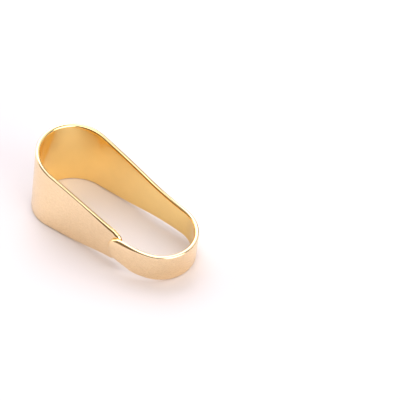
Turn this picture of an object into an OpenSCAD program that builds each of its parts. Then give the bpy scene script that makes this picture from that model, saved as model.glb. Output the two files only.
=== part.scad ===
// A pendant bail that springs open: one strip of thin sheet brass bent into a long, nearly closed loop.
// The broad end of the loop is the barrel that slides on a chain or cord.
// The narrow end holds the ring of a pendant. The strip's round tongue laps over the outside
// of the broad wall's end, and springs away from it to let the ring in.
// X runs from the broad bend to the narrow bend, Y runs across the loop to the wall with
// no lap, and Z is up. The loop lies on its lower edges, and the origin is on the surface
// it lies on, under the middle of its outline.

/* [Loop] */
// Length over both bends
loop_length = 10.5; // [9.5:0.1:14]
// Width over the broad bend
broad_width = 4.5; // [4.3:0.1:5.5]
// Width over the narrow bend
narrow_width = 4.2; // [3.6:0.1:4.5]
// Thickness of the sheet
sheet = 0.25; // [0.15:0.01:0.35]

/* [Strip] */
// Height of the strip at the broad bend
broad_height = 4.4; // [4:0.1:5.5]
// Height of the strip at the narrow bend
narrow_height = 1.8; // [1.7:0.05:2.2]
// Slope of the strip's edges where they leave the broad bend, in degrees
edge_slope = 5; // [3:0.5:7]
// Radius of the edges' bulge behind the broad bend
bulge_radius = 40; // [32:1:60]
// Radius of the edges' hollow before the narrow bend
hollow_radius = 15; // [8:1:20]

/* [Lap] */
// Distance from the broad bend's outer face to the end of the broad wall
wall_reach = 7.4; // [6.8:0.1:7.8]
// Angle at which the broad wall leans in towards its end, in degrees
wall_lean = 1.5; // [1:0.5:4]
// Radius of the two corners at the broad wall's end
corner_radius = 0.5; // [0.2:0.05:0.7]
// Length of the tongue that lies over the broad wall
lap_length = 0.65; // [0.3:0.05:1.2]
// Space between the tongue and the broad wall's end
lap_gap = 0.02; // [0.02:0.01:0.1]
// Radius to which the tongue is bowed
tongue_radius = 7; // [6:0.5:20]
// Width of the tongue where its round tip begins
tongue_width = 1.55; // [1.3:0.05:1.6]
// How far the tongue's round tip sits above the strip's middle line
tongue_rise = 0.12; // [0:0.01:0.15]

/* [Hidden] */
$fn = 180;

function unit(a) = [cos(a), sin(a)];
function heading(v) = atan2(v.y, v.x);

// Half the sides of any cut or slab that has to reach past the whole loop.
far = 3 * loop_length;
// Where two smooth curves join, one lies this much deeper, so that they cross and don't graze.
graze = 0.001;

// Plan, seen from above, with X = 0 on the broad bend's outer face.
broad_r = broad_width / 2;
narrow_r = narrow_width / 2;
broad_c = [broad_r, 0];
narrow_c = [loop_length - narrow_r, 0];

// Outward directions of the back wall, which touches both bends, and of the broad wall.
back_dir = 90 - asin((broad_r - narrow_r) / (narrow_c.x - broad_c.x));
wall_dir = wall_lean - 90;

// The outer corner at the end of the broad wall.
wall_y = (broad_r - (wall_reach - broad_c.x) * cos(wall_dir)) / sin(wall_dir);
wall_corner = [wall_reach, wall_y];

// The tongue is an arc that carries the narrow bend on, and clears that corner by lap_gap.
bow = tongue_radius - narrow_r;
corner_offset = wall_corner - narrow_c;
corner_dist = norm(corner_offset);
bowed_reach = (pow(tongue_radius - sheet - lap_gap, 2) - pow(corner_dist, 2) - pow(bow, 2))
    / (2 * bow);
tongue_dir = heading(corner_offset) + acos(bowed_reach / corner_dist);
tongue_c = narrow_c - bow * unit(tongue_dir);
tip_x = wall_reach - lap_length;

// Side view, with Z = 0 on the strip's middle line. Each edge bulges and then hollows.
broad_h = broad_height / 2;
narrow_h = narrow_height / 2;
bulge_x = -bulge_radius * sin(edge_slope);
bulge_z = bulge_radius * cos(edge_slope) - broad_h;
hollow_z = narrow_h + hollow_radius;
hollow_x = bulge_x + sqrt(pow(bulge_radius + hollow_radius, 2) - pow(bulge_z + hollow_z, 2));
turn_x = bulge_x + (hollow_x - bulge_x) * bulge_radius / (bulge_radius + hollow_radius);
turn_z = sqrt(pow(bulge_radius, 2) - pow(turn_x - bulge_x, 2)) - bulge_z;

// Where the broad wall ends, half the strip's height there.
wall_end_h = wall_reach < turn_x
    ? sqrt(pow(bulge_radius, 2) - pow(wall_reach - bulge_x, 2)) - bulge_z
    : hollow_z - sqrt(pow(hollow_radius, 2) - pow(hollow_x - wall_reach, 2));

// The tongue narrows from the narrow bend to its round tip. Its edges touch the tip's circle
// in these two directions.
tip_r = tongue_width / 2;
tip_c = [tip_x + tip_r, tongue_rise];
upper_start = [narrow_c.x, narrow_h];
lower_start = [narrow_c.x, -narrow_h];
upper_dir = heading(upper_start - tip_c) + acos(tip_r / norm(upper_start - tip_c));
lower_dir = heading(lower_start - tip_c) - acos(tip_r / norm(lower_start - tip_c));

// At rest the loop leans on the bulge of its lower edge and on the narrow bend.
heel = [loop_length, -narrow_h];
heel_to_bulge = [bulge_x, bulge_z] - heel;
rest_tilt = heading(heel_to_bulge) + asin(bulge_radius / norm(heel_to_bulge)) - 180;
rest_lift = loop_length * sin(rest_tilt) + narrow_h * cos(rest_tilt);
rest_left = -broad_h * sin(rest_tilt);
rest_right = loop_length * cos(rest_tilt) + narrow_h * sin(rest_tilt);
tip_y = tongue_c.y - sqrt(pow(tongue_radius, 2) - pow(tip_x - tongue_c.x, 2));

// The loop's outline from above at depth d under the outer face, without the tongue.
module loop_outline(d) {
    translate(broad_c) circle(broad_r - d);
    translate(narrow_c) circle(narrow_r - d);
    polygon([
        broad_c + (broad_r - d - graze) * unit(wall_dir),
        wall_corner + [0.1, 0] - (d + graze) * unit(wall_dir),
        narrow_c,
        narrow_c + (narrow_r - d - graze) * unit(back_dir),
        broad_c + (broad_r - d - graze) * unit(back_dir)
    ]);
}

// The same for the narrow bend and the tongue.
module tongue_outline(d) {
    translate(narrow_c) circle(narrow_r - d);
    intersection() {
        translate(tongue_c) circle(tongue_radius - d - graze);
        translate(narrow_c) rotate(tongue_dir) translate([-far, -far]) square([2 * far, far]);
    }
}

module loop_plan() {
    difference() {
        loop_outline(0);
        loop_outline(sheet);
        polygon([
            [wall_reach, 0],
            [wall_reach, -far],
            narrow_c + far * unit(-45),
            narrow_c
        ]);
    }
}

module tongue_plan() {
    intersection() {
        difference() {
            tongue_outline(0);
            tongue_outline(sheet);
        }
        polygon([
            [tip_x - 1, 0],
            [tip_x - 1, -far],
            narrow_c + far * unit(-40),
            narrow_c
        ]);
    }
}

module side_bulge() {
    intersection() {
        translate([bulge_x, -bulge_z]) circle(bulge_radius, $fn = 720);
        translate([bulge_x, bulge_z]) circle(bulge_radius, $fn = 720);
        translate([-1, -far]) square([turn_x + 1.5, 2 * far]);
    }
}

module side_hollow() {
    difference() {
        translate([turn_x, -turn_z]) square([hollow_x - turn_x, 2 * turn_z]);
        translate([hollow_x, hollow_z]) circle(hollow_radius + graze, $fn = 720);
        translate([hollow_x, -hollow_z]) circle(hollow_radius + graze, $fn = 720);
    }
    translate([hollow_x - 0.5, -narrow_h]) square([far, narrow_height]);
}

module loop_side() {
    side_bulge();
    side_hollow();
}

module tongue_side() {
    translate(tip_c) circle(tip_r);
    polygon([
        tip_c + (tip_r - graze) * unit(upper_dir),
        tip_c + (tip_r - graze) * unit(lower_dir),
        lower_start,
        lower_start + [far, 0],
        upper_start + [far, 0],
        upper_start
    ]);
}

// Cuts the corner at the broad wall's end to a round.
module wall_corner_cut() {
    centre = [wall_reach - corner_radius, wall_end_h - corner_radius];
    difference() {
        translate(centre) square(2 * corner_radius);
        translate(centre) circle(corner_radius);
    }
}

// Stands a side view upright along X and Z, and draws it across the whole loop.
module across(width) {
    rotate([90, 0, 0]) translate([0, 0, -width / 2]) linear_extrude(width) children();
}

module upright(height) {
    translate([0, 0, -height / 2]) linear_extrude(height) children();
}

module at_rest() {
    translate([-(rest_left + rest_right) / 2, -(broad_r + tip_y) / 2, rest_lift])
        rotate([0, rest_tilt, 0])
            children();
}

module bail_loop() {
    color([0.93, 0.76, 0.5])
        at_rest() {
            difference() {
                intersection() {
                    upright(far) loop_plan();
                    across(far) loop_side();
                }
                for (side = [0, 1])
                    mirror([0, 0, side])
                        translate([0, -far / 2, 0])
                            across(far) wall_corner_cut();
            }
            intersection() {
                upright(far) tongue_plan();
                across(far) tongue_side();
            }
        }
}

bail_loop();
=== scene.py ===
"""The pendant bail's looks: a finer strip with rounded edges, its gold plate, and a plain white studio."""

import math

import bmesh
import bpy
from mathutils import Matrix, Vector


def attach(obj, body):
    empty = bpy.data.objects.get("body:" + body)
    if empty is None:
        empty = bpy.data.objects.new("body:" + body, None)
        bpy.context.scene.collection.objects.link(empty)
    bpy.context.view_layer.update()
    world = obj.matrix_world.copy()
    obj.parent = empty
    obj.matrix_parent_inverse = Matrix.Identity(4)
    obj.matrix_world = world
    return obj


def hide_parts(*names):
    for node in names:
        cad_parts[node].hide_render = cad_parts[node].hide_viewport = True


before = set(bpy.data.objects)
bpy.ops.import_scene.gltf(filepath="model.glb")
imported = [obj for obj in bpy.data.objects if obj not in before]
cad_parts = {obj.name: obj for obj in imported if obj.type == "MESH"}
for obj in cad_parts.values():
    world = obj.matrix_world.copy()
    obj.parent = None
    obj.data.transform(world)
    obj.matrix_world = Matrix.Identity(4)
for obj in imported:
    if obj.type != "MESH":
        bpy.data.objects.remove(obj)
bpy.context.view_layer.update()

MM = 0.001

# The strip's driving dimensions, in millimetres and degrees, as in the part's source
LOOP_LENGTH = 10.5
BROAD_WIDTH = 4.5
NARROW_WIDTH = 4.2
SHEET = 0.25
BROAD_HEIGHT = 4.4
NARROW_HEIGHT = 1.8
EDGE_SLOPE = 5.0
BULGE_RADIUS = 40.0
HOLLOW_RADIUS = 15.0
WALL_REACH = 7.4
WALL_LEAN = 1.5
CORNER_RADIUS = 0.5
LAP_LENGTH = 0.65
LAP_GAP = 0.02
TONGUE_RADIUS = 7.0
TONGUE_WIDTH = 1.55
TONGUE_RISE = 0.12

# The edge's rounding: how far it reaches along the face, how deep into the sheet, and its bevel's reach.
# By the two cut ends the outer edge is bevelled, and round the tip it is rolled over. The two faces'
# depths together stay below the sheet's thickness. Each end's rounding comes in over a length of strip.
INNER_ROUND = (0.14, 0.14, 0.0)
OUTER_ROUND = (0.10, 0.10, 0.0)
WALL_ROUND = (0.03, 0.08, 0.10)
TONGUE_ROUND = (0.2, 0.12, 0.1)
TIP_ROUND = (0.3, 0.2, 0.0)
END_INNER_ROUND = (0.04, 0.03, 0.0)
WALL_ROUND_REACH = 3.2
TIP_ROUND_REACH = 1.3

# The mesh: millimetres between stations, rows across the strip, rings round an edge, steps round the wall
# end's corner and the tip, and how far the two ends' outlines carry on into the grid
STATION = 0.09
ROWS = 24
EDGE_RINGS = 6
CORNER_STEPS = 4
TIP_STEPS = 8
CORNER_FADE = 1.5
TIP_FADE = 3.0

# Half the span, in millimetres, over which an edge's slope is read
SLOPE_STEP = 0.004

# The camera: where it looks, its direction from there, its distance, lens and sensor, in millimetres and
# degrees, and the nearest and furthest that it sees, in metres
CAMERA_AIM = (2.016, 4.882, 0.0)
CAMERA_AZIMUTH = 40.57
CAMERA_ELEVATION = 42.79
CAMERA_DISTANCE = 165.3
CAMERA_LENS = 270.0
CAMERA_SENSOR = 36.0
CAMERA_CLIP = (0.01, 10.0)


def unit(angle):
    """The direction at an angle in radians."""
    return Vector((math.cos(angle), math.sin(angle)))


class Plan:
    """The strip's middle surface seen from above, with X = 0 on the broad bend's outer face."""

    def __init__(self):
        broad_r = BROAD_WIDTH / 2
        narrow_r = NARROW_WIDTH / 2
        broad_c = Vector((broad_r, 0))
        narrow_c = Vector((LOOP_LENGTH - narrow_r, 0))
        back_dir = math.pi / 2 - math.asin((broad_r - narrow_r) / (narrow_c.x - broad_c.x))
        wall_dir = math.radians(WALL_LEAN - 90)
        wall_y = (broad_r - (WALL_REACH - broad_r) * math.cos(wall_dir)) / math.sin(wall_dir)
        wall_corner = Vector((WALL_REACH, wall_y))
        bow = TONGUE_RADIUS - narrow_r
        offset = wall_corner - narrow_c
        clear = TONGUE_RADIUS - SHEET - LAP_GAP
        bowed_reach = (clear ** 2 - offset.length ** 2 - bow ** 2) / (2 * bow)
        tongue_dir = math.atan2(offset.y, offset.x) + math.acos(bowed_reach / offset.length)
        tongue_c = narrow_c - bow * unit(tongue_dir)
        tip_x = WALL_REACH - LAP_LENGTH
        half = SHEET / 2
        tip_r = TONGUE_RADIUS - half
        tip_dir = -math.acos((tip_x - tongue_c.x) / tip_r)
        self.narrow_c = narrow_c
        self.tip_x = tip_x
        self.spans = []
        self.length = 0.0
        wall_end = wall_corner - half * unit(wall_dir)
        self.line(wall_end, broad_c + (broad_r - half) * unit(wall_dir), wall_dir)
        self.arc(broad_c, broad_r - half, wall_dir, back_dir - 2 * math.pi)
        back_end = narrow_c + (narrow_r - half) * unit(back_dir)
        self.line(broad_c + (broad_r - half) * unit(back_dir), back_end, back_dir)
        self.arc(narrow_c, narrow_r - half, back_dir, 0.0)
        self.tongue_start = self.length
        self.arc(narrow_c, narrow_r - half, 0.0, tongue_dir)
        self.arc(tongue_c, tip_r, tongue_dir, tip_dir)
        outer = tongue_c + TONGUE_RADIUS * unit(-math.acos((tip_x - tongue_c.x) / TONGUE_RADIUS))
        self.shift_y = -(broad_r + outer.y) / 2

    def line(self, start, end, direction):
        """Adds a straight span, which faces one way."""
        span = (end - start).length
        self.spans.append((self.length, span, lambda u: (start.lerp(end, u / span), unit(direction))))
        self.length += span

    def arc(self, centre, radius, first, last):
        """Adds a bent span, from one angle round its centre to another."""
        span = radius * abs(last - first)

        def at(u):
            out = unit(first + (last - first) * u / span)
            return centre + radius * out, out

        self.spans.append((self.length, span, at))
        self.length += span

    def at(self, s):
        """The middle surface's point and outward direction at s along the strip."""
        for start, span, place in self.spans:
            if s <= start + span:
                break
        return place(s - start)


class Side:
    """Half the strip's height along it, and how it leans at rest."""

    def __init__(self, plan):
        self.plan = plan
        broad_h = BROAD_HEIGHT / 2
        self.narrow_h = NARROW_HEIGHT / 2
        slope = math.radians(EDGE_SLOPE)
        self.bulge_x = -BULGE_RADIUS * math.sin(slope)
        self.bulge_z = BULGE_RADIUS * math.cos(slope) - broad_h
        self.hollow_z = self.narrow_h + HOLLOW_RADIUS
        both = BULGE_RADIUS + HOLLOW_RADIUS
        self.hollow_x = self.bulge_x + math.sqrt(both ** 2 - (self.bulge_z + self.hollow_z) ** 2)
        self.turn_x = self.bulge_x + (self.hollow_x - self.bulge_x) * BULGE_RADIUS / both
        heel = Vector((LOOP_LENGTH, -self.narrow_h))
        to_bulge = Vector((self.bulge_x, self.bulge_z)) - heel
        self.tilt = math.atan2(to_bulge.y, to_bulge.x) + math.asin(BULGE_RADIUS / to_bulge.length) - math.pi
        self.lift = LOOP_LENGTH * math.sin(self.tilt) + self.narrow_h * math.cos(self.tilt)
        left = -broad_h * math.sin(self.tilt)
        right = LOOP_LENGTH * math.cos(self.tilt) + self.narrow_h * math.sin(self.tilt)
        self.shift_x = -(left + right) / 2
        self.tip_r = TONGUE_WIDTH / 2

    def loop(self, x):
        """Half the strip's height at x: a bulged edge, then a hollow one, then a straight one."""
        if x < self.turn_x:
            return math.sqrt(BULGE_RADIUS ** 2 - (x - self.bulge_x) ** 2) - self.bulge_z
        if x < self.hollow_x:
            return self.hollow_z - math.sqrt(HOLLOW_RADIUS ** 2 - (self.hollow_x - x) ** 2)
        return self.narrow_h

    def tongue(self, from_tip, side):
        """The tongue's edge above (side 1) or below (side -1): a line that touches the tip's circle."""
        centre = Vector((self.tip_r, side * TONGUE_RISE))
        root = Vector((self.plan.narrow_c.x - self.plan.tip_x, self.narrow_h))
        reach = root - centre
        touch_dir = math.atan2(reach.y, reach.x) + math.acos(self.tip_r / reach.length)
        touch = centre + self.tip_r * unit(touch_dir)
        if from_tip < touch.x:
            return centre.y + math.sqrt(max(self.tip_r ** 2 - (from_tip - centre.x) ** 2, 0.0))
        share = min((from_tip - touch.x) / (root.x - touch.x), 1.0)
        return touch.y + (root.y - touch.y) * share

    def edge(self, s, side):
        """The strip's edge above (side 1) or below (side -1) the middle line, as a signed height."""
        if s < self.plan.tongue_start:
            point, out = self.plan.at(s)
            return side * self.loop(point.x + out.x * SHEET / 2)
        return side * self.tongue(self.plan.length - s, side)


def smooth(value):
    """Eases a share from 0 to 1."""
    value = min(max(value, 0.0), 1.0)
    return value * value * (3 - 2 * value)


class Strip:
    """The flat strip, s along it and z across it, with its edge's rounding, wrapped onto the plan."""

    def __init__(self):
        self.plan = Plan()
        self.side = Side(self.plan)
        self.length = self.plan.length
        self.corner = Vector((CORNER_RADIUS, self.side.edge(0.0, 1) - CORNER_RADIUS))
        self.tip = Vector((self.length - self.side.tip_r, TONGUE_RISE))

    def stations(self):
        """Places along the strip, from halfway round the wall end's corners to halfway round the tip's."""
        eighth = math.pi / 4
        turns = [eighth * (1 - k / CORNER_STEPS) for k in range(CORNER_STEPS + 1)]
        first = [self.corner.x - CORNER_RADIUS * math.sin(turn) for turn in turns]
        count = round((self.tip.x - self.corner.x) / STATION)
        middle = [self.corner.x + (self.tip.x - self.corner.x) * k / count for k in range(1, count)]
        turns = [eighth * k / TIP_STEPS for k in range(TIP_STEPS + 1)]
        last = [self.tip.x + self.side.tip_r * math.sin(turn) for turn in turns]
        return first + middle + last

    def border(self, s, side):
        """The edge's point above or below at s, and its outward direction."""
        if s < self.corner.x:
            rise = math.sqrt(CORNER_RADIUS ** 2 - (self.corner.x - s) ** 2)
            out = Vector((s - self.corner.x, side * rise)) / CORNER_RADIUS
            return Vector((self.corner.x, side * self.corner.y)) + CORNER_RADIUS * out, out
        climb = self.side.edge(s + SLOPE_STEP, side) - self.side.edge(s - SLOPE_STEP, side)
        slope = climb / (2 * SLOPE_STEP)
        return Vector((s, self.side.edge(s, side))), Vector((-slope * side, side)).normalized()

    def wall_end(self, z):
        """The wall end's edge at height z."""
        over = abs(z) - self.corner.y
        if over <= 0:
            return Vector((0, z)), Vector((-1, 0))
        back = math.sqrt(max(CORNER_RADIUS ** 2 - over ** 2, 0))
        out = Vector((-back, math.copysign(over, z))).normalized()
        return Vector((self.corner.x, math.copysign(self.corner.y, z))) + CORNER_RADIUS * out, out

    def tip_end(self, z):
        """The round tip's edge at height z."""
        across = z - self.tip.y
        out = Vector((math.sqrt(self.side.tip_r ** 2 - across ** 2), across)).normalized()
        return self.tip + self.side.tip_r * out, out

    def rounding(self, s, face_side):
        """The edge's rounding at s: its reach along the face, its depth, and its bevel's reach."""
        by_wall_end = smooth(1 - s / WALL_ROUND_REACH)
        by_tip = smooth(1 - max(self.tip.x - s, 0.0) / TIP_ROUND_REACH)
        if face_side < 0:
            return Vector(INNER_ROUND).lerp(Vector(END_INNER_ROUND), max(by_wall_end, by_tip))
        rolled = Vector(OUTER_ROUND).lerp(Vector(WALL_ROUND), by_wall_end)
        rolled = rolled.lerp(Vector(TONGUE_ROUND), by_tip)
        return rolled.lerp(Vector(TIP_ROUND), smooth((s - self.tip.x) / self.side.tip_r))

    def inset(self, edge, out, face_side, angle):
        """The rounding's point as it turns from the face (0) to the edge (90 degrees), and its offset."""
        along, into, bevel = self.rounding(edge.x, face_side)
        at = edge - out * (along * (1 - math.sin(angle)) + bevel * math.cos(angle))
        return at, face_side * (SHEET / 2 - into * (1 - math.cos(angle)))

    def wrapped(self, s, z, w):
        """The point at s along, z across and w out of the middle surface, in metres in the part's frame."""
        held = min(max(s, 0.0), self.length)
        point, out = self.plan.at(held)
        flat = point + out * w + Vector((out.y, -out.x)) * (s - held)
        cos_t = math.cos(self.side.tilt)
        sin_t = math.sin(self.side.tilt)
        x = flat.x * cos_t + z * sin_t + self.side.shift_x
        y = flat.y + self.plan.shift_y
        up = -flat.x * sin_t + z * cos_t + self.side.lift
        return Vector((x, y, up)) * MM


def edge_points(strip, stations):
    """The strip's edge at each border point of the grid, and its outward direction, by (column, row)."""
    last = len(stations) - 1
    ring = {}
    for i, s in enumerate(stations):
        above = strip.border(s, 1)
        below = strip.border(s, -1)
        ring[(i, 0)] = below
        ring[(i, ROWS)] = above
        if i in (0, last):
            end = strip.wall_end if i == 0 else strip.tip_end
            for j in range(ROWS + 1):
                ring[(i, j)] = end(below[0].y + (above[0].y - below[0].y) * j / ROWS)
    return ring


def face_grid(strip, stations, ring, face_side):
    """A face's flat grid inside its edge's rounding."""
    last = len(stations) - 1
    inset = {}
    for key, (edge, out) in ring.items():
        inset[key] = strip.inset(edge, out, face_side, 0.0)[0]
    start_bulge = [inset[(0, 0)].x - inset[(0, j)].x for j in range(ROWS + 1)]
    end_bulge = [inset[(last, j)].x - inset[(last, 0)].x for j in range(ROWS + 1)]
    grid = []
    for i, s in enumerate(stations):
        low = inset[(i, 0)]
        high = inset[(i, ROWS)]
        at_start = 1 - smooth((s - stations[0]) / CORNER_FADE)
        at_end = 1 - smooth((stations[last] - s) / TIP_FADE)
        column = []
        for j in range(ROWS + 1):
            along = low.x + (high.x - low.x) * j / ROWS - start_bulge[j] * at_start + end_bulge[j] * at_end
            column.append(inset.get((i, j), Vector((along, low.y + (high.y - low.y) * j / ROWS))))
        grid.append(column)
    return grid


def edge_walk(columns):
    """The grid's border once round, as (column, row)."""
    walk = [(i, 0) for i in range(columns)]
    walk += [(columns - 1, j) for j in range(1, ROWS + 1)]
    walk += [(i, ROWS) for i in range(columns - 2, -1, -1)]
    walk += [(0, j) for j in range(ROWS - 1, 0, -1)]
    return walk


class Skin:
    """The strip's closed mesh as it is made, with what its material reads at each point."""

    def __init__(self, strip):
        self.strip = strip
        self.bm = bmesh.new()
        self.uv_of = {}
        self.rim_of = {}
        self.inner_of = {}

    def vertex(self, s, z, w, rim):
        v = self.bm.verts.new(self.strip.wrapped(s, z, w))
        self.uv_of[v] = (s, z)
        self.rim_of[v] = rim
        self.inner_of[v] = 0.5 - w / SHEET
        return v

    def face(self, *corners):
        self.bm.faces.new(corners).smooth = True

    def sheet_face(self, grid, face_side):
        """One face of the sheet from its flat grid; gives its points by column and row."""
        w = face_side * SHEET / 2
        verts = [[self.vertex(p.x, p.y, w, 0.0) for p in column] for column in grid]
        for first, second in zip(verts, verts[1:]):
            for j in range(ROWS):
                corners = [first[j], second[j], second[j + 1], first[j + 1]]
                self.face(*corners[::face_side])
        return verts

    def edge_loop(self, edges, face_side, angle):
        """One loop of points round the whole edge, at an angle of its rounding."""
        loop = []
        for edge, out in edges:
            at, w = self.strip.inset(edge, out, face_side, angle)
            loop.append(self.vertex(at.x, at.y, w, math.sin(angle)))
        return loop

    def join(self, loops):
        """The rim's faces between each loop and the next."""
        count = len(loops[0])
        for outer, inner in zip(loops, loops[1:]):
            for k in range(count):
                n = (k + 1) % count
                self.face(outer[k], inner[k], inner[n], outer[n])

    def finished(self, name):
        """The object, with the flat strip as its UV map and the rim and inner shares on its points."""
        layer = self.bm.loops.layers.uv.new("strip")
        for face in self.bm.faces:
            for loop in face.loops:
                loop[layer].uv = self.uv_of[loop.vert]
        self.bm.normal_update()
        self.bm.verts.index_update()
        rims = [self.rim_of[v] for v in self.bm.verts]
        inners = [self.inner_of[v] for v in self.bm.verts]
        mesh = bpy.data.meshes.new(name)
        self.bm.to_mesh(mesh)
        self.bm.free()
        mesh.attributes.new("rim", "FLOAT", "POINT").data.foreach_set("value", rims)
        mesh.attributes.new("inner", "FLOAT", "POINT").data.foreach_set("value", inners)
        piece = bpy.data.objects.new(name, mesh)
        bpy.context.scene.collection.objects.link(piece)
        return piece


def build_bail():
    """The whole strip: its outer and inner face, and the rounded rim that joins them."""
    strip = Strip()
    stations = strip.stations()
    ring = edge_points(strip, stations)
    skin = Skin(strip)
    outer = skin.sheet_face(face_grid(strip, stations, ring, 1), 1)
    inner = skin.sheet_face(face_grid(strip, stations, ring, -1), -1)
    walk = edge_walk(len(stations))
    edges = [ring[key] for key in walk]
    loops = [[outer[i][j] for i, j in walk]]
    rings = [(1, k) for k in range(1, EDGE_RINGS + 1)] + [(-1, k) for k in range(EDGE_RINGS, 0, -1)]
    for face_side, k in rings:
        loops.append(skin.edge_loop(edges, face_side, math.pi / 2 * k / EDGE_RINGS))
    loops.append([inner[i][j] for i, j in walk])
    skin.join(loops)
    return skin.finished("bail_strip")


class Nodes:
    """Short calls for making a material's nodes."""

    def __init__(self, name):
        self.material = bpy.data.materials.new(name)
        self.material.use_nodes = True
        self.tree = self.material.node_tree
        self.shader = self.tree.nodes["Principled BSDF"]

    def add(self, kind, **settings):
        node = self.tree.nodes.new(kind)
        for name, value in settings.items():
            setattr(node, name, value)
        return node

    def link(self, source, target):
        self.tree.links.new(source, target)

    def noise(self, vector, scale, detail, roughness=0.55):
        node = self.add("ShaderNodeTexNoise")
        node.inputs["Scale"].default_value = scale
        node.inputs["Detail"].default_value = detail
        node.inputs["Roughness"].default_value = roughness
        self.link(vector, node.inputs["Vector"])
        return node.outputs["Fac"]

    def ranged(self, value, span, to_low, to_high):
        node = self.add("ShaderNodeMapRange")
        node.inputs["From Min"].default_value = span[0]
        node.inputs["From Max"].default_value = span[1]
        node.inputs["To Min"].default_value = to_low
        node.inputs["To Max"].default_value = to_high
        self.link(value, node.inputs["Value"])
        return node.outputs["Result"]

    def mixed(self, share, first, second):
        node = self.add("ShaderNodeMix", data_type="RGBA")
        self.link(share, node.inputs[0])
        node.inputs[6].default_value = (*first, 1.0)
        node.inputs[7].default_value = (*second, 1.0)
        return node.outputs[2]

    def faded(self, colour, share):
        node = self.add("ShaderNodeVectorMath", operation="SCALE")
        self.link(colour, node.inputs[0])
        self.link(share, node.inputs["Scale"])
        return node.outputs["Vector"]

    def times(self, first, second):
        node = self.add("ShaderNodeMath", operation="MULTIPLY")
        self.link(first, node.inputs[0])
        self.link(second, node.inputs[1])
        return node.outputs["Value"]

    def bump(self, height, strength, distance, below=None):
        node = self.add("ShaderNodeBump")
        node.inputs["Strength"].default_value = strength
        node.inputs["Distance"].default_value = distance
        self.link(height, node.inputs["Height"])
        if below is not None:
            self.link(below, node.inputs["Normal"])
        return node.outputs["Normal"]


# The plate's colour on the outer face; the inner face's deeper, redder gold is painted light, standing in
# for light bounced between the walls; and how far its clouds fade it
GOLD_OUTER = (0.93, 0.72, 0.455)
GOLD_INNER_PAINTED_BOUNCE = (1.0, 0.755, 0.32)
CLOUD = 0.03

# The plate's roughness on the outer and the inner face, the grain's share of it, what is left of it on the
# rim, and over what part of the edge's turn the rim's polish comes in
SATIN_OUTER = 0.26
SATIN_INNER = 0.185
GRAIN = 0.15
RIM_POLISH = 0.5
RIM_TURN = (0.0, 0.4)

# The noises' scale in a millimetre of strip, and detail: clouds in the colour, the grain that rolling drew
# out along the strip, with its roughness and its scale each way, and the sheet's ripple
CLOUD_NOISE = (1.3, 4.0)
GRAIN_NOISE = (3.5, 5.0, 0.6)
GRAIN_DRAW = (1.0, 9.0, 1.0)
RIPPLE_NOISE = (2.6, 2.0)

# The part of a noise's range that counts, for the clouds and for the grain and the sweep
CLOUD_SPAN = (0.35, 0.65)
NOISE_SPAN = (0.3, 0.7)

# The bumps' strength and height, in metres, for the ripple and the grain
RIPPLE_BUMP = (0.25, 0.02 * MM)
GRAIN_BUMP = (0.2, 0.004 * MM)


def gold_plate():
    """Satin pale gold plate: cloudy colour with painted bounce light on the inner face, fine rolling grain
    along the strip, and a burnished rim.
    """
    n = Nodes("plated_gold")
    strip_uv = n.add("ShaderNodeUVMap", uv_map="strip").outputs["UV"]
    rim = n.add("ShaderNodeAttribute", attribute_name="rim").outputs["Fac"]
    inner = n.add("ShaderNodeAttribute", attribute_name="inner").outputs["Fac"]
    stretched = n.add("ShaderNodeMapping")
    stretched.inputs["Scale"].default_value = GRAIN_DRAW
    n.link(strip_uv, stretched.inputs["Vector"])
    clouds = n.noise(strip_uv, *CLOUD_NOISE)
    grain = n.noise(stretched.outputs["Vector"], *GRAIN_NOISE)
    ripple = n.noise(strip_uv, *RIPPLE_NOISE)
    # The inner face's deeper gold is painted light: the colour that light gains bouncing between the walls
    gold = n.mixed(inner, GOLD_OUTER, GOLD_INNER_PAINTED_BOUNCE)
    n.link(n.faded(gold, n.ranged(clouds, CLOUD_SPAN, 1 - CLOUD, 1.0)), n.shader.inputs["Base Color"])
    satin = n.ranged(inner, (0.0, 1.0), SATIN_OUTER, SATIN_INNER)
    grained = n.times(satin, n.ranged(grain, NOISE_SPAN, 1 - GRAIN, 1 + GRAIN))
    n.link(n.times(grained, n.ranged(rim, RIM_TURN, 1.0, RIM_POLISH)), n.shader.inputs["Roughness"])
    n.shader.inputs["Metallic"].default_value = 1.0
    rippled = n.bump(ripple, *RIPPLE_BUMP)
    n.link(n.bump(grain, *GRAIN_BUMP, rippled), n.shader.inputs["Normal"])
    return n.material


# The sweep's two tones, its faint patches' scale in a metre and detail, and half its width in metres
SWEEP_TONES = ((0.772, 0.707, 0.697), (0.792, 0.727, 0.717))
SWEEP_NOISE = (60.0, 2.0)
SWEEP_REACH = 0.6


def matt_white():
    """The white sweep that the part lies on."""
    n = Nodes("white_sweep")
    position = n.add("ShaderNodeNewGeometry").outputs["Position"]
    tone = n.ranged(n.noise(position, *SWEEP_NOISE), NOISE_SPAN, 0.0, 1.0)
    n.link(n.mixed(tone, *SWEEP_TONES), n.shader.inputs["Base Color"])
    n.shader.inputs["Roughness"].default_value = 1.0
    n.shader.inputs["Specular IOR Level"].default_value = 0.0
    return n.material


def floor():
    """The surface that the loop lies on."""
    mesh = bpy.data.meshes.new("floor")
    bm = bmesh.new()
    bmesh.ops.create_grid(bm, x_segments=1, y_segments=1, size=SWEEP_REACH)
    bm.to_mesh(mesh)
    bm.free()
    plane = bpy.data.objects.new("floor", mesh)
    bpy.context.scene.collection.objects.link(plane)
    mesh.materials.append(matt_white())


# The tent's fill light: azimuth and elevation of its brightest part, its edge's two cosines, and brightness
FILL = (217.0, 50.0, (-0.15, 0.55), (0.40, 0.405, 0.435))

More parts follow.
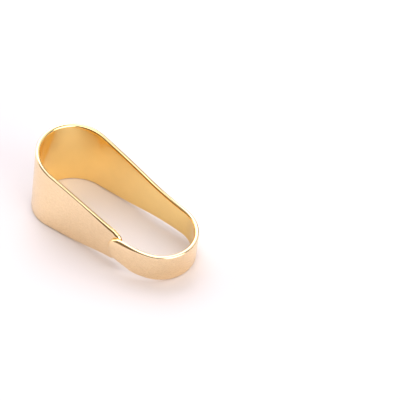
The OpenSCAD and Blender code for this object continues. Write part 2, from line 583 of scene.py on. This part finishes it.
# Softboxes round the part: azimuth, elevation and radius in degrees, and brightness by colour channel
REAR_BOX = (232.5, 48.0, 27.0, (2.8, 3.0, 3.4))
FRONT_BOX = (54.5, 67.0, 24.0, (1.9, 1.81, 1.73))
SIDE_BOX = (85.0, 17.0, 24.0, (4.15, 3.95, 3.75))
LOW_BOX = (335.0, 8.0, 36.0, (0.22, 0.155, 0.10))
LEFT_BOX = (283.0, 16.0, 20.0, (1.5, 1.42, 1.32))
RIGHT_BOX = (156.5, 37.5, 20.0, (0.87, 0.87, 0.87))
SOFTBOXES = (REAR_BOX, FRONT_BOX, SIDE_BOX, LOW_BOX, LEFT_BOX, RIGHT_BOX)

# Where a softbox's soft edge starts and where it reaches full light, as shares of its radius
BOX_EDGE = (1.3, 0.7)


def direction(azimuth, elevation):
    """The direction to a light or camera: azimuth 0 is -Y and 90 is +X."""
    a = math.radians(azimuth)
    e = math.radians(elevation)
    return Vector((math.sin(a) * math.cos(e), -math.cos(a) * math.cos(e), math.sin(e)))


def glow(tree, target, edge, colour):
    """Light that comes up, between two cosines, as the sky turns towards a direction."""
    sky = tree.nodes.new("ShaderNodeTexCoord").outputs["Generated"]
    dot = tree.nodes.new("ShaderNodeVectorMath")
    dot.operation = "DOT_PRODUCT"
    dot.inputs[1].default_value = target
    tree.links.new(sky, dot.inputs[0])
    ranged = tree.nodes.new("ShaderNodeMapRange")
    ranged.interpolation_type = "SMOOTHSTEP"
    ranged.inputs["From Min"].default_value = edge[0]
    ranged.inputs["From Max"].default_value = edge[1]
    tree.links.new(dot.outputs["Value"], ranged.inputs["Value"])
    light = tree.nodes.new("ShaderNodeBackground")
    light.inputs["Color"].default_value = (*colour, 1.0)
    tree.links.new(ranged.outputs["Result"], light.inputs["Strength"])
    return light.outputs["Background"]


def studio_light():
    """A white tent as the world: a fill that fades to black towards the front, and soft-edged softboxes."""
    world = bpy.data.worlds.new("tent")
    world.use_nodes = True
    tree = world.node_tree
    azimuth, elevation, edge, colour = FILL
    total = glow(tree, direction(azimuth, elevation), edge, colour)
    for azimuth, elevation, radius, colour in SOFTBOXES:
        edge = [math.cos(math.radians(radius * share)) for share in BOX_EDGE]
        box = glow(tree, direction(azimuth, elevation), edge, colour)
        both = tree.nodes.new("ShaderNodeAddShader")
        tree.links.new(total, both.inputs[0])
        tree.links.new(box, both.inputs[1])
        total = both.outputs["Shader"]
    tree.links.new(total, tree.nodes["World Output"].inputs["Surface"])
    bpy.context.scene.world = world


def camera():
    """The camera, at the loop's front right and above it."""
    data = bpy.data.cameras.new("camera")
    data.lens = CAMERA_LENS
    data.sensor_width = CAMERA_SENSOR
    data.clip_start = CAMERA_CLIP[0]
    data.clip_end = CAMERA_CLIP[1]
    cam = bpy.data.objects.new("camera", data)
    bpy.context.scene.collection.objects.link(cam)
    back = direction(CAMERA_AZIMUTH, CAMERA_ELEVATION)
    cam.location = (Vector(CAMERA_AIM) + back * CAMERA_DISTANCE) * MM
    cam.rotation_euler = (-back).to_track_quat("-Z", "Y").to_euler()
    bpy.context.scene.camera = cam


def main():
    camera()
    floor()
    studio_light()
    bail = build_bail()
    bail.data.materials.append(gold_plate())
    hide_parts("bail_loop")
    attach(bail, "root")
    scene = bpy.context.scene
    scene.view_settings.view_transform = "Standard"
    scene.cycles.max_bounces = 16
    scene.cycles.glossy_bounces = 14


main()
